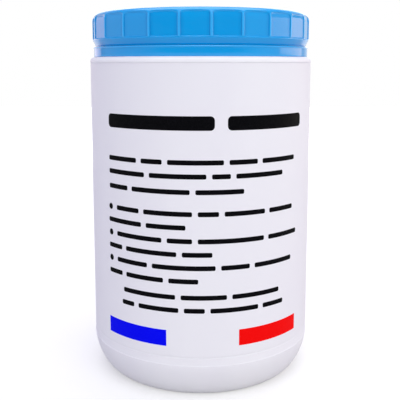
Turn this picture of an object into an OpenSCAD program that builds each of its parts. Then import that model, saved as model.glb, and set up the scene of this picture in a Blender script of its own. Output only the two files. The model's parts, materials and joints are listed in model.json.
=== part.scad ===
// A wide-mouth screw pot with a blue tamper-evident lid, packed with moulded sticks of furniture repair wax.
// The front of the pot faces -Y, +Z is up, and the origin is at the middle of the face that it stands on.

/* [Pot] */
// Diameter of the pot across its shoulder bead and its heel bead
pot_d = 105; // [96:1:130]
// Height of the widest line of the shoulder above the base
shoulder_h = 146.9; // [120:0.1:180]
// Thickness of the pot's side wall
pot_wall = 1.6; // [1.2:0.1:2]
// Thickness of the pot's floor
floor_wall = 2; // [1.5:0.1:3]
// Height of the heel, where the side tapers in to the base
heel_h = 16; // [13:0.5:20]
// How far the standing ring lies inside the beads
heel_in = 8.3; // [6:0.1:11]
// Power of the heel's curve, where 2 gives a true ellipse
heel_power = 1.56; // [1.4:0.02:2]
// Width of the ring that the pot stands on
foot_w = 3; // [2:0.5:5]
// How far the base is pushed up inside the standing ring
base_lift = 1.2; // [0.6:0.1:2]
// Height of the bead between the heel and the label panel
heel_bead_h = 3.7; // [2:0.1:6]
// Height of the shoulder bead below its widest line
shoulder_bead_h = 0.6; // [0.4:0.1:2]
// Radius of the rounded shoulder above its widest line
shoulder_r = 2.1; // [1.5:0.1:3]

/* [Label] */
// Depth of the label panel below the beads
panel_depth = 0.25; // [0.2:0.05:0.5]
// Thickness of the label film
label_t = 0.12; // [0.08:0.01:0.16]
// Thickness of the adhesive under the label film
label_glue = 0.03; // [0.01:0.01:0.05]
// Gap between the label's edges and the steps of its panel
label_gap = 0.6; // [0.3:0.1:2]
// Width of the open seam between the label's two ends, at the back
label_seam = 2; // [1:0.5:6]

/* [Neck] */
// Height of the neck from the top of the shoulder to the rim
neck_h = 16.4; // [15:0.1:24]
// Thickness of the neck's wall
neck_wall = 1.8; // [1.4:0.1:2.4]
// Slant of the rim's two edges
rim_slant = 0.5; // [0.2:0.1:0.8]
// How far the bead that holds the tamper band stands out of the neck
catch_depth = 1; // [0.6:0.1:1.2]
// Height of that bead
catch_h = 1.5; // [1:0.1:2]

/* [Thread] */
// Rise of the thread in one turn
thread_pitch = 6; // [5:0.25:8]
// How far a thread stands out of its wall
thread_depth = 1.4; // [1.2:0.1:1.8]
// Width of a thread at its root
thread_root_w = 2.8; // [2.2:0.1:3]
// Width of a thread at its crest
thread_crest_w = 1.4; // [1:0.1:1.6]
// Gap between a thread's crest and the wall that it faces
thread_clear = 0.4; // [0.3:0.05:0.6]
// Gap between the flanks of the two threads when the lid is tight
flank_gap = 0.3; // [0.2:0.05:0.5]

/* [Tamper band] */
// Height of the tamper band
band_h = 4.05; // [3.5:0.05:6]
// Thickness of the tamper band's wall
band_wall = 1.4; // [1:0.1:1.8]
// Gap between the tamper band and the shoulder
band_gap = 0.15; // [0.1:0.05:0.9]
// How far the tamper band lies inside the lid's grip
band_in = 0.7; // [0.4:0.1:1.4]
// Height of the lip with which the tamper band hooks under the neck's bead
lip_h = 1.2; // [0.8:0.1:1.6]
// Gap between that lip and the neck
lip_gap = 0.4; // [0.3:0.05:0.6]
// Gap between the tamper band and the lid, across which the tear bridges reach
tear_gap = 0.4; // [0.3:0.05:0.8]
// Number of tear bridges
bridge_count = 12; // [8:1:24]
// Width of a tear bridge
bridge_w = 0.9; // [0.5:0.1:1.5]

/* [Lid] */
// How far the lid's grip lies inside the pot's beads
lid_in = 1.1; // [0:0.05:1.5]
// Thickness of the lid's skirt, measured at the ribs of its grip
lid_wall = 2; // [1.8:0.1:2.6]
// Thickness of the lid's top
lid_top_wall = 1.6; // [1.2:0.1:2.4]
// Height of the raised ring round the lid's top, inside which another pot's base stacks
stack_h = 1; // [0.6:0.1:1.4]
// Gap between that ring and the base that stacks in it
stack_gap = 0.7; // [0.4:0.1:1.5]
// Radius of the lid's rounded top edge
lid_round = 3.8; // [2.5:0.1:4.5]
// Height of the slanted foot of the lid, below its grip
lid_foot_h = 3; // [2:0.1:4]
// How far the lid's lower edge lies inside the grip
lid_foot_in = 1.4; // [0.8:0.1:1.6]
// Height of the plain ridge below the grip's panels
ridge_h = 0.5; // [0.3:0.1:1]
// Number of ribs round the grip
rib_count = 24; // [16:1:36]
// Width of a rib
rib_w = 2.2; // [1.4:0.1:3]
// Depth of a grip panel in its middle
grip_sink = 0.55; // [0.4:0.05:0.7]
// Radius of a grip panel's upper corners
grip_corner = 1.2; // [1:0.1:4]
// How far the grip's panels end below the lid's top
grip_drop = 2.1; // [2:0.1:4]
// Turn of the first rib from the pot's right side
grip_turn = 5; // [0:1:15]

/* [Liner] */
// Thickness of the foam liner in the lid
liner_t = 1.2; // [0.8:0.1:2]
// Gap between the liner's edge and the lid's skirt
liner_gap = 0.3; // [0.2:0.1:0.5]

/* [Wax sticks] */
// Length of a wax stick
stick_l = 125; // [80:1:135]
// Radius of a wax stick's rounded ends
stick_round = 2; // [1:0.5:4]
// Gap between neighbouring wax sticks that lie in one line through the middle
stick_play = 0.4; // [0.3:0.1:1]
// Gap between the outer wax sticks and the pot
stick_gap = 0.4; // [0.3:0.1:1]

/* [Hidden] */
$fn = 96;

// How far a cut runs past the face that it opens, and a root lies in its wall
overrun = 0.5;
// Points along a quarter of a rounded edge, and along the heel
round_steps = 6;
heel_steps = 12;
// Facets of a thread in one turn, and along the lead-in at each of its ends
turn_steps = 36;
lead_steps = 3;
// Gap between a thread's end and the bead, rim or edge next to it
thread_end_gap = 0.5;
// Number of wax sticks in the outer ring, round the two in the middle
ring_sticks = 8;
// Gap left under the lid by the tear bridges, which part at the first opening
bridge_gap = 0.05;
// Gap between the tamper band's lip and the bead that it hooks under
catch_gap = 0.3;
// Share of the band's height, from its lower edge, at which its lip starts
lip_place_share = 0.1;
// Share of the neck bead's height that its slanted top takes
catch_slant_share = 0.6;
// Share of the wall by which the slanted heel looks thicker along the floor
heel_slant_share = 1.25;

// Pot
pot_r = pot_d / 2;
panel_r = pot_r - panel_depth;
foot_r = pot_r - heel_in;
floor_z = base_lift + floor_wall;
panel_low_z = heel_h + heel_bead_h;
panel_top_z = shoulder_h - shoulder_bead_h;
shoulder_top_z = shoulder_h + shoulder_r;
rim_z = shoulder_top_z + neck_h;

// Lid and neck, from the grip inwards
lid_r = pot_r - lid_in;
lid_bore_r = lid_r - lid_wall;
neck_r = lid_bore_r - thread_clear - thread_depth;
mouth_r = neck_r - neck_wall;

// Tamper band and the bead that it hooks under
band_r = lid_r - band_in;
band_z = shoulder_top_z + band_gap;
band_top_z = band_z + band_h;
lip_z = band_z + band_h * lip_place_share;
catch_z = lip_z + lip_h + catch_gap;
catch_top_z = catch_z + catch_h;

// Lid heights, from its lower edge to its raised ring
lid_z = band_top_z + tear_gap;
ridge_z = lid_z + lid_foot_h;
grip_z = ridge_z + ridge_h;
liner_top_z = rim_z + liner_t;
lid_seat_z = liner_top_z + lid_top_wall;
lid_top_z = lid_seat_z + stack_h;
stack_r = foot_r + stack_gap;

// Threads: both rise with one helix, the lid's below the neck's
thread_half_w = thread_root_w / 2;
thread_top_z = rim_z - thread_end_gap - thread_half_w;
neck_thread_steps = floor(turn_steps * (thread_top_z - catch_top_z - thread_end_gap - thread_half_w) / thread_pitch);
neck_thread_z = thread_top_z - thread_pitch * neck_thread_steps / turn_steps;
thread_drop = (thread_root_w + thread_crest_w) / 2 + flank_gap;
lid_thread_low_z = lid_z + thread_end_gap + thread_half_w;
lid_thread_from = ceil(turn_steps * (lid_thread_low_z - neck_thread_z + thread_drop) / thread_pitch);
lid_thread_to = floor(turn_steps * (thread_top_z - neck_thread_z + thread_drop) / thread_pitch);

// Wax sticks: their size follows the mouth and the heel that they stand in
heel_wall_across = pot_wall * heel_slant_share;
heel_reach = min([
    for (i = [0:round_steps])
        let (a = 90 * i / round_steps)
        heel_r(floor_z + stick_round * (1 - cos(a))) + stick_round * (1 - sin(a)) - heel_wall_across
]);
stick_reach = min(mouth_r, heel_reach) - stick_gap;
stick_r = (stick_reach - stick_play * 3 / 2) / 4;
stick_ring_r = stick_reach - stick_r;
// The four wood tints, and the tint of each stick
stick_tints = ["#d9b27c", "#b5793f", "#7a4524", "#4a2a1b"];
stick_order = [0, 1, 2, 3, 0, 1, 2, 3, 1, 2];

// Radius of the heel's outside at a height
function heel_r(z) = foot_r + heel_in * pow(1 - pow(1 - z / heel_h, heel_power), 1 / heel_power);

// Points of an arc round a centre
function arc(centre, radius, from, to, steps) = [
    for (i = [0:steps])
        let (a = from + (to - from) * i / steps)
        centre + radius * [cos(a), sin(a)]
];

// Points of the heel, from the standing ring up, set in from the outside by a wall
function heel_points(set_in) = [
    for (i = [0:heel_steps])
        let (
            a = 90 * (1 - i / heel_steps),
            across = pow(cos(a), 2 / heel_power),
            down = pow(sin(a), 2 / heel_power),
            lean = [pow(across, heel_power - 1) / heel_in, -pow(down, heel_power - 1) / heel_h]
        )
        [foot_r + heel_in * across, heel_h * (1 - down)] - lean / norm(lean) * set_in
];

// A thread of tapering section round the Z axis, whose crest sinks into the wall at both ends
module helix_thread(wall_r, outward, low_z, from, to) {
    root_r = wall_r - outward * overrun;
    points = [
        for (i = [from:to])
            let (
                a = 360 * i / turn_steps,
                z = low_z + thread_pitch * i / turn_steps,
                grown = min(1, (i - from) / lead_steps, (to - i) / lead_steps),
                crest_r = wall_r + outward * ((thread_depth + overrun / 2) * grown - overrun / 2)
            )
            for (corner = [
                [root_r, -thread_root_w / 2], [crest_r, -thread_crest_w / 2],
                [crest_r, thread_crest_w / 2], [root_r, thread_root_w / 2]
            ])
            [corner.x * cos(a), corner.x * sin(a), z + corner.y]
    ];
    last = 4 * (to - from);
    sides = [
        for (i = [0:to - from - 1])
            for (c = [0:3])
                let (a = 4 * i + c, b = 4 * i + (c + 1) % 4)
                for (face = [[a, b, b + 4], [a, b + 4, a + 4]])
                    outward > 0 ? face : [face[2], face[1], face[0]]
    ];
    ends = [[3, 2, 1], [3, 1, 0], [last, last + 1, last + 2], [last, last + 2, last + 3]];
    polyhedron(
        points,
        concat(sides, [for (face = ends) outward > 0 ? face : [face[2], face[1], face[0]]]),
        convexity = 4
    );
}

module jar_outline() {
    polygon(concat(
        [[0, base_lift], [foot_r - foot_w - base_lift, base_lift], [foot_r - foot_w, 0]],
        heel_points(0),
        [[pot_r, panel_low_z - panel_depth], [panel_r, panel_low_z], [panel_r, panel_top_z]],
        [[pot_r, panel_top_z + panel_depth]],
        arc([pot_r - shoulder_r, shoulder_h], shoulder_r, 0, 90, round_steps),
        [[neck_r, shoulder_top_z], [neck_r, catch_z], [neck_r + catch_depth, catch_z]],
        [[neck_r + catch_depth, catch_top_z - catch_h * catch_slant_share], [neck_r, catch_top_z]],
        [[neck_r, rim_z - rim_slant], [neck_r - rim_slant, rim_z], [0, rim_z]]
    ));
}

module jar_hollow() {
    shoulder_in_r = shoulder_r + pot_wall;
    difference() {
        polygon(concat(
            [[0, 0], [foot_r, 0]],
            heel_points(pot_wall),
            [[panel_r - pot_wall, panel_low_z], [panel_r - pot_wall, shoulder_h - shoulder_in_r]],
            [[mouth_r, shoulder_top_z - pot_wall], [mouth_r, rim_z - rim_slant]],
            [[mouth_r + rim_slant, rim_z], [mouth_r + rim_slant, rim_z + overrun], [0, rim_z + overrun]]
        ));
        square([pot_r, floor_z]);
    }
}

module jar_body() {
    color("#e9e7f2") {
        rotate_extrude() difference() {
            jar_outline();
            jar_hollow();
        }
        helix_thread(neck_r, 1, neck_thread_z, 0, neck_thread_steps);
    }
}

module wrap_label() {
    seam_angle = 360 * label_seam / (2 * PI * panel_r);
    label_h = panel_top_z - panel_low_z - 2 * label_gap;
    color("#f3f2fa")
        rotate([0, 0, 90 + seam_angle / 2])
            rotate_extrude(angle = 360 - seam_angle)
                translate([panel_r + label_glue, panel_low_z + label_gap])
                    square([label_t, label_h]);
}

module tamper_band() {
    bore_r = band_r - band_wall;
    lip_r = neck_r + lip_gap;
    bridge_depth = band_wall - lid_foot_in + band_in;
    color("#0f8fe0") {
        rotate_extrude() polygon([
            [bore_r, band_z], [band_r, band_z], [band_r, band_top_z], [bore_r, band_top_z],
            [bore_r, lip_z + lip_h], [lip_r, lip_z + lip_h], [lip_r, lip_z + lip_h / 2], [bore_r, lip_z]
        ]);
        for (i = [0:bridge_count - 1])
            rotate([0, 0, 360 * i / bridge_count])
                translate([bore_r, -bridge_w / 2, band_top_z - overrun])
                    cube([bridge_depth, bridge_w, overrun + tear_gap - bridge_gap]);
    }
}

module cap_outline() {
    polygon(concat(
        [[0, lid_z], [lid_r - lid_foot_in, lid_z], [lid_r, ridge_z], [lid_r, lid_top_z - lid_round]],
        arc([lid_r - lid_round, lid_top_z - lid_round], lid_round, 0, 90, round_steps),
        [[stack_r + stack_h, lid_top_z], [stack_r, lid_seat_z], [0, lid_seat_z]]
    ));
}

module grip_panel_cut() {
    panel_w = 2 * lid_r * sin(180 / rib_count) - rib_w;
    panel_h = lid_top_z - grip_drop - grip_z;
    translate([lid_r - grip_sink, -panel_w / 2, grip_z])
        rotate([90, 0, 90])
            linear_extrude(grip_sink + overrun)
                union() {
                    square([panel_w, panel_h - grip_corner]);
                    translate([grip_corner, 0]) square([panel_w - 2 * grip_corner, panel_h]);
                    for (x = [grip_corner, panel_w - grip_corner])
                        translate([x, panel_h - grip_corner]) circle(grip_corner);
                }
}

module screw_cap() {
    color("#0f8fe0") {
        difference() {
            rotate_extrude() difference() {
                cap_outline();
                translate([0, lid_z - overrun]) square([lid_bore_r, liner_top_z - lid_z + overrun]);
            }
            for (i = [0:rib_count - 1])
                rotate([0, 0, grip_turn + 360 * (i + 1 / 2) / rib_count]) grip_panel_cut();
        }
        helix_thread(lid_bore_r, -1, neck_thread_z - thread_drop, lid_thread_from, lid_thread_to);
    }
}

module seal_liner() {
    color("#fafafa") translate([0, 0, rim_z]) cylinder(h = liner_t, r = lid_bore_r - liner_gap);
}

// The first sticks stand in the outer ring, and the last two in the middle
module wax_stick(i) {
    in_ring = i < ring_sticks;
    place_r = in_ring ? stick_ring_r : stick_r + stick_play / 2;
    place_angle = in_ring ? 360 * i / ring_sticks : 180 * (i - ring_sticks);
    color(stick_tints[stick_order[i]])
        rotate([0, 0, place_angle])
            translate([place_r, 0, floor_z])
                rotate_extrude() polygon(concat(
                    [[0, 0]],
                    arc([stick_r - stick_round, stick_round], stick_round, -90, 0, round_steps),
                    arc([stick_r - stick_round, stick_l - stick_round], stick_round, 0, 90, round_steps),
                    [[0, stick_l]]
                ));
}

jar_body();
wrap_label();
tamper_band();
screw_cap();
seal_liner();
wax_stick(0);  // wax_stick_01
wax_stick(1);  // wax_stick_02
wax_stick(2);  // wax_stick_03
wax_stick(3);  // wax_stick_04
wax_stick(4);  // wax_stick_05
wax_stick(5);  // wax_stick_06
wax_stick(6);  // wax_stick_07
wax_stick(7);  // wax_stick_08
wax_stick(8);  // wax_stick_09
wax_stick(9);  // wax_stick_10
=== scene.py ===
"""A white screw pot with a blue ribbed lid, packed with sticks of furniture repair wax.

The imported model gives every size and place. The pot, lid, band, liner, label and sticks are modelled
again here with their rounded edges, threads and finishes, and the label gets a plain printed layout.
Sizes are in millimetres, and MM turns them into Blender's metres.
"""

import json
import logging
import math
from collections.abc import Iterator
from contextlib import contextmanager
from dataclasses import dataclass, field
from enum import Enum

import bpy
from bpy.types import Material, Node, NodeSocket, Object, World
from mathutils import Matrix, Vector


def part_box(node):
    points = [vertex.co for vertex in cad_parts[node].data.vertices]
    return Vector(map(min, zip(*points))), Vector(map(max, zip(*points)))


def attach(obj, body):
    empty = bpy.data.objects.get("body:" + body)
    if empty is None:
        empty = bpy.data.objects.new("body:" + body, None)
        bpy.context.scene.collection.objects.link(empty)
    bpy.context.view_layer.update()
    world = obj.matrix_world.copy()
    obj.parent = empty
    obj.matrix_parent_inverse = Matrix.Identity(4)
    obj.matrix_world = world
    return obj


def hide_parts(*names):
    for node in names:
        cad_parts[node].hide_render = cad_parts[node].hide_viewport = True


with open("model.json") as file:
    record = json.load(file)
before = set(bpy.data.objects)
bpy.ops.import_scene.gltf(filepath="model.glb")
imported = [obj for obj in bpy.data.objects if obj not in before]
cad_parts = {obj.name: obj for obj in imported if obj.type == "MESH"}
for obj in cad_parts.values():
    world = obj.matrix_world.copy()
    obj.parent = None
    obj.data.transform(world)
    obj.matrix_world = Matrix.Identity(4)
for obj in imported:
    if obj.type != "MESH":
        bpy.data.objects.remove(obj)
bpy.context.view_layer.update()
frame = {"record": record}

logging.basicConfig(level=logging.INFO, format="%(message)s")
LOG = logging.getLogger("pot")

MM = 0.001
MERGE_MM = 0.0005
NEARLY_STRAIGHT = math.pi - 0.01
EDGE_SHARE = 0.49
BEVEL_SHARE = 0.499
FACET_SLACK = 1e-6
COLUMN_SLACK = 1e-4
PHOTO_PX = 400
# Mesh attribute that places painted light: 1 for a painted highlight, -1 for painted shade.
LIGHT_SHADE_MARK = "light_shade_mark"
Colour = tuple[float, float, float]
Span = tuple[float, float]
Outline = list[tuple[float, float]]
Finishes = dict[str, Material]


class Body(Enum):
    """The rigid bodies that pieces ride on."""

    POT = "pot"
    LINER = "liner"
    LID = "lid"


@dataclass(frozen=True)
class Corner:
    """One corner of an outline.

    Attributes:
        r: Distance from the axis.
        z: Height above the base.
        rounding: Radius of the corner's rounding.
    """

    r: float
    z: float
    rounding: float = 0.0


def rounded(corners: list[Corner], steps: int = 4) -> Outline:
    """Round an outline's corners with arcs.

    Args:
        corners: The outline's corners in order, open at both ends.
        steps: Facets along each arc.

    Returns:
        The points of the rounded outline.
    """
    points: Outline = [(corners[0].r, corners[0].z)]
    for before, corner, after in zip(corners, corners[1:], corners[2:]):
        here = Vector((corner.r, corner.z))
        back = Vector((before.r, before.z)) - here
        ahead = Vector((after.r, after.z)) - here
        angle = back.angle(ahead)
        if corner.rounding <= 0 or angle > NEARLY_STRAIGHT:
            points.append(tuple(here))
            continue
        reach = corner.rounding / math.tan(angle / 2)
        reach = min(reach, back.length * EDGE_SHARE, ahead.length * EDGE_SHARE)
        radius = reach * math.tan(angle / 2)
        back.normalize()
        ahead.normalize()
        centre = here + (back + ahead).normalized() * radius / math.sin(angle / 2)
        first = here + back * reach - centre
        last = here + ahead * reach - centre
        for step in range(steps + 1):
            points.append(tuple(centre + first.slerp(last, step / steps).normalized() * radius))
    points.append((corners[-1].r, corners[-1].z))
    return points


def arc(r: float, z: float, radius: float, start: float, end: float, steps: int) -> list[Corner]:
    """Give the points of an arc round a centre as corners.

    Args:
        r: The centre's distance from the axis.
        z: The centre's height.
        radius: The arc's radius.
        start: The first angle in degrees, from straight outwards.
        end: The last angle in degrees.
        steps: Facets along the arc.

    Returns:
        The arc's points, with no rounding.
    """
    angles = [math.radians(start + (end - start) * step / steps) for step in range(steps + 1)]
    return [Corner(r + radius * math.cos(a), z + radius * math.sin(a)) for a in angles]


def polar(r: float, angle: float, z: float) -> Vector:
    """Give the point at a distance from the axis, an angle in radians and a height."""
    return Vector((r * math.cos(angle), r * math.sin(angle), z))


def clamp(value: float) -> float:
    """Hold a value between 0 and 1."""
    return min(1.0, max(0.0, value))


def deselect() -> None:
    """Leave nothing selected and no piece in edit mode."""
    if bpy.context.object and bpy.context.object.mode != "OBJECT":
        bpy.ops.object.mode_set(mode="OBJECT")
    bpy.ops.object.select_all(action="DESELECT")


def named(name: str) -> Object:
    """Name the piece that was just added, with its mesh.

    Args:
        name: The name.

    Returns:
        The piece.
    """
    piece = bpy.context.object
    piece.name = piece.data.name = name
    return piece


def apply_place() -> None:
    """Work the active piece's place, turn and scale into its mesh."""
    bpy.ops.object.transform_apply(location=True, rotation=True, scale=True)


def apply_modifier(piece: Object, kind: str, **settings: object) -> None:
    """Add a modifier to the active piece and apply it.

    Args:
        piece: The active piece.
        kind: The modifier's type.
        **settings: Its properties by name.
    """
    modifier = piece.modifiers.new(kind, kind)
    for key, value in settings.items():
        setattr(modifier, key, value)
    bpy.ops.object.modifier_apply(modifier=modifier.name)


@contextmanager
def editing(action: str = "SELECT") -> Iterator[None]:
    """Edit the active piece's mesh, and then go back to object mode.

    Args:
        action: SELECT to start with all of it selected, and DESELECT with nothing.
    """
    bpy.ops.object.mode_set(mode="EDIT")
    bpy.ops.mesh.select_all(action=action)
    yield
    bpy.ops.object.mode_set(mode="OBJECT")


def settle(piece: Object, crease_deg: float = 32.0) -> Object:
    """Merge doubles, turn all faces outwards, apply the piece's place and shade it smooth by angle.

    Args:
        piece: The piece, in object mode.
        crease_deg: Edges sharper than this stay sharp.

    Returns:
        The same piece.
    """
    deselect()
    bpy.context.view_layer.objects.active = piece
    piece.select_set(True)
    apply_place()
    with editing():
        bpy.ops.mesh.remove_doubles(threshold=MERGE_MM * MM)
        bpy.ops.mesh.normals_make_consistent(inside=False)
    bpy.ops.object.shade_smooth_by_angle(angle=math.radians(crease_deg))
    piece.select_set(False)
    return piece


def turned(name: str, outline: Outline, columns: int) -> Object:
    """Turn an outline round the Z axis, by extruding a circle ring by ring.

    An outline that starts and ends on the axis gives a closed solid, and so does one that ends where
    it starts.

    Args:
        name: The piece's name.
        outline: Points as distance from the axis and height.
        columns: Faces round the axis.

    Returns:
        The turned piece, not yet settled.
    """
    deselect()
    start_on_axis = outline[0][0] <= 0
    rings = [point for point in outline if point[0] > 0]
    bpy.ops.mesh.primitive_circle_add(
        vertices=columns,
        radius=rings[0][0] * MM,
        fill_type="TRIFAN" if start_on_axis else "NOTHING",
        location=(0, 0, rings[0][1] * MM),
    )
    piece = named(name)
    apply_place()
    with editing():
        if start_on_axis:
            bpy.ops.mesh.region_to_loop()
        for (r_from, z_from), (r_to, z_to) in zip(rings, rings[1:]):
            bpy.ops.mesh.extrude_edges_move()
            share = r_to / r_from
            bpy.ops.transform.resize(value=(share, share, 1), center_override=(0, 0, z_from * MM))
            bpy.ops.transform.translate(value=(0, 0, (z_to - z_from) * MM))
        if outline[-1][0] <= 0:
            bpy.ops.mesh.extrude_edges_move()
            bpy.ops.mesh.merge(type="CENTER")
    return piece


@dataclass(frozen=True)
class Place:
    """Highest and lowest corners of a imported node."""

    low: Vector
    high: Vector

    @classmethod
    def of(cls, node: str) -> "Place":
        """Read a node's box from the frame."""
        low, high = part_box(node)
        return cls(low / MM, high / MM)

    @property
    def radius(self) -> float:
        """Half of the node's width."""
        return (self.high.x - self.low.x) / 2


def packed(node: str) -> Place:
    """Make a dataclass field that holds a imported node's place."""
    return field(default_factory=lambda: Place.of(node))


class Wiring:
    """The nodes of a material or of the world, added and joined one by one."""

    def __init__(
        self, owner: Material | World, shader: str = "Principled BSDF", where: str = "Object"
    ) -> None:
        """Start with the owner's own shader and the coordinates of its surface.

        Args:
            owner: The material or world.
            shader: The name of its shader's node.
            where: The texture coordinates that patterns follow.
        """
        owner.use_nodes = True
        self.owner = owner
        self.tree = owner.node_tree
        self.shader = self.tree.nodes[shader]
        self.place = self.add("TexCoord").outputs[where]

    def add(self, kind: str, inputs: dict[str | int, object] | None = None, **settings: object) -> Node:
        """Add a shader node.

        Args:
            kind: The node's type, without the words that all types start with.
            inputs: Constants and outputs for its inputs, by name or number.
            **settings: Its properties by name.

        Returns:
            The node.
        """
        node = self.tree.nodes.new("ShaderNode" + kind)
        for key, value in settings.items():
            setattr(node, key, value)
        self.fill(node, inputs or {})
        return node

    def fill(self, node: Node, inputs: dict[str | int, object]) -> None:
        """Fill a node's inputs.

        Args:
            node: The node.
            inputs: A constant or an output for each input, by name or number.
        """
        for key, value in inputs.items():
            if isinstance(value, NodeSocket):
                self.tree.links.new(value, node.inputs[key])
            else:
                node.inputs[key].default_value = value

    def maths(self, operation: str, *values: float | NodeSocket) -> NodeSocket:
        """Work out a value from constants and outputs."""
        return self.add("Math", dict(enumerate(values)), operation=operation).outputs["Value"]

    def between(
        self, value: NodeSocket, start: float, end: float, low: float = 0.0, high: float = 1.0
    ) -> NodeSocket:
        """Spread a value between two levels.

        Args:
            value: The value to spread.
            start: Value that gives low.
            end: Value that gives high.
            low: Result at start.
            high: Result at end.

        Returns:
            The spread value.
        """
        inputs = {"Value": value, "From Min": start, "From Max": end, "To Min": low, "To Max": high}
        return self.add("MapRange", inputs).outputs["Result"]

    def mix(self, share: NodeSocket, first: float | NodeSocket, second: float | NodeSocket) -> NodeSocket:
        """Mix two levels by a share, which is 0 for the first and 1 for the second."""
        return self.add("Mix", {"Factor": share, "A": first, "B": second}).outputs["Result"]

    def blend(self, share: NodeSocket, first: Colour | NodeSocket, second: Colour) -> NodeSocket:
        """Blend two linear colours.

        Args:
            share: 0 for the first colour and 1 for the second.
            first: A colour, or the output that gives it.
            second: A colour.

        Returns:
            The blended colour.
        """
        start = first if isinstance(first, NodeSocket) else (*first, 1)
        node = self.add("Mix", data_type="RGBA")
        self.fill(node, {"Factor": share, "A": start, "B": (*second, 1)})
        return node.outputs["Result"]

    def seen(self) -> NodeSocket:
        """Tell the rays that show the background from those that light the pot.

        Returns:
            1 for a ray from the camera or from a glossy or clear surface, and else 0.
        """
        rays = self.add("LightPath").outputs
        either = self.maths("MAXIMUM", rays["Is Camera Ray"], rays["Is Glossy Ray"])
        return self.maths("MAXIMUM", either, rays["Is Transmission Ray"])


@dataclass(frozen=True)
class Grain:
    """One layer of noise in a finish.

    Attributes:
        size: Size of its largest patches.
        detail: Octaves of finer noise.
        run: Its scale along the height, less than 1 for patches that run along the piece.
        start: Noise that gives the first of two looks.
        end: Noise that gives the second.
        strength: Strength of its bumps, which are depth deep.
    """

    size: float
    detail: float = 3.0
    run: float = 1.0
    start: float = 0.3
    end: float = 0.7
    strength: float = 0.0
    depth: float = 0.0

    def pattern(self, wiring: Wiring) -> NodeSocket:
        """Add the noise to a material.

        Args:
            wiring: The material's nodes.

        Returns:
            The noise's value, from 0 to 1.
        """
        where = wiring.place
        if self.run != 1:
            where = wiring.add("Mapping", {"Vector": where, "Scale": (1, 1, self.run)}).outputs["Vector"]
        inputs = {"Vector": where, "Scale": 1 / (self.size * MM), "Detail": self.detail}
        return wiring.add("TexNoise", inputs).outputs["Fac"]

    def spread(self, wiring: Wiring, low: float = 0.0, high: float = 1.0) -> NodeSocket:
        """Add the noise, spread from one level to another."""
        return wiring.between(self.pattern(wiring), self.start, self.end, low, high)


@dataclass(frozen=True)
class Cells(Grain):
    """One layer of fine round cells in a finish."""

    def pattern(self, wiring: Wiring) -> NodeSocket:
        """Add the cells' distance to a material."""
        inputs = {"Vector": wiring.place, "Scale": 1 / (self.size * MM)}
        return wiring.add("TexVoronoi", inputs).outputs["Distance"]


@dataclass(frozen=True)
class Finish:
    """A finish of two colours in clouds, with duller patches and layers of bumps.

    Attributes:
        colour: Linear colour of most of the surface.
        tint: Linear colour of the clouds.
        roughness: Roughness of the smoothest and of the dullest patches.
        relief: Layers of bumps.
        glow: Share of light that scatters under the surface, glow_reach far.
        edges: Linear colours of a painted highlight on thin raised edges and of painted shade in the grooves
            beside them, if it has any.
    """

    name: str
    colour: Colour
    tint: Colour
    clouds: Grain
    patches: Grain
    roughness: Span
    relief: tuple[Grain, ...]
    specular: float = 0.5
    glow: float = 0.0
    glow_way: Colour = (1, 0.9, 0.9)
    glow_reach: float = 2.0
    edges: tuple[Colour, Colour] | None = None

    def make(self) -> Material:
        """Build the material.

        Returns:
            The material.
        """
        wiring = Wiring(bpy.data.materials.new(self.name))
        colour = wiring.blend(self.clouds.spread(wiring), self.colour, self.tint)
        if self.edges is not None:
            # Painted highlight where the attribute is positive, and painted shade where it is negative.
            mark = wiring.add("Attribute", attribute_name=LIGHT_SHADE_MARK).outputs["Fac"]
            colour = wiring.blend(wiring.between(mark, 0, 1), colour, self.edges[0])
            colour = wiring.blend(wiring.between(mark, -1, 0, 1, 0), colour, self.edges[1])
        shader = {
            "Base Color": colour,
            "Roughness": self.patches.spread(wiring, *self.roughness),
            "Specular IOR Level": self.specular,
            "Subsurface Weight": self.glow,
            "Subsurface Radius": self.glow_way,
            "Subsurface Scale": self.glow_reach * MM,
        }
        for layer in self.relief:
            bump = {"Strength": layer.strength, "Distance": layer.depth * MM, "Height": layer.pattern(wiring)}
            if "Normal" in shader:
                bump["Normal"] = shader["Normal"]
            shader["Normal"] = wiring.add("Bump", bump).outputs["Normal"]
        wiring.fill(wiring.shader, shader)
        return wiring.owner


def peel(depth: float) -> tuple[Grain, Grain]:
    """Give the orange peel of a moulding, and the finer grain on it."""
    return Grain(1.6, 2, strength=0.5, depth=depth), Grain(0.16, 2, strength=0.4, depth=depth / 4)


@dataclass(frozen=True)
class MouldedPlastic(Finish):
    """Injection-moulded plastic with faint flow marks and orange peel."""

    clouds: Grain = Grain(26, 2, run=0.35)
    patches: Grain = Grain(3.5, 4)
    roughness: Span = (0.42, 0.52)
    relief: tuple[Grain, ...] = peel(0.004)


@dataclass(frozen=True)
class PrintedFilm(Finish):
    """Smooth white film, with faint waves from the wrapping."""

    clouds: Grain = Grain(34, run=0.4)
    patches: Grain = Grain(5, 4)
    roughness: Span = (0.44, 0.54)
    relief: tuple[Grain, ...] = (
        Grain(18, 2, run=0.2, strength=0.35, depth=0.02),
        Grain(0.3, 2, strength=0.3, depth=0.001),
    )
    specular: float = 0.12


@dataclass(frozen=True)
class Ink(Finish):
    """Printing ink with a fine, slightly uneven lay."""

    clouds: Grain = Grain(0.5, 4, start=0.45, end=0.85)
    patches: Grain = Grain(2)
    roughness: Span = (0.45, 0.6)
    relief: tuple[Grain, ...] = (Grain(0.2, 2, strength=0.3, depth=0.002),)
    specular: float = 0.03


@dataclass(frozen=True)
class CastWax(Finish):
    """Dull cast wax with pigment streaks along the stick."""

    clouds: Grain = Grain(5, 5, run=0.12, start=0.35, end=0.75)
    patches: Grain = Grain(4, 4)
    roughness: Span = (0.42, 0.62)
    relief: tuple[Grain, ...] = (Grain(6, strength=0.5, depth=0.08), Grain(0.5, strength=0.4, depth=0.01))
    glow: float = 0.15
    glow_way: Colour = (1, 0.6, 0.4)
    glow_reach: float = 1.5


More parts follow.
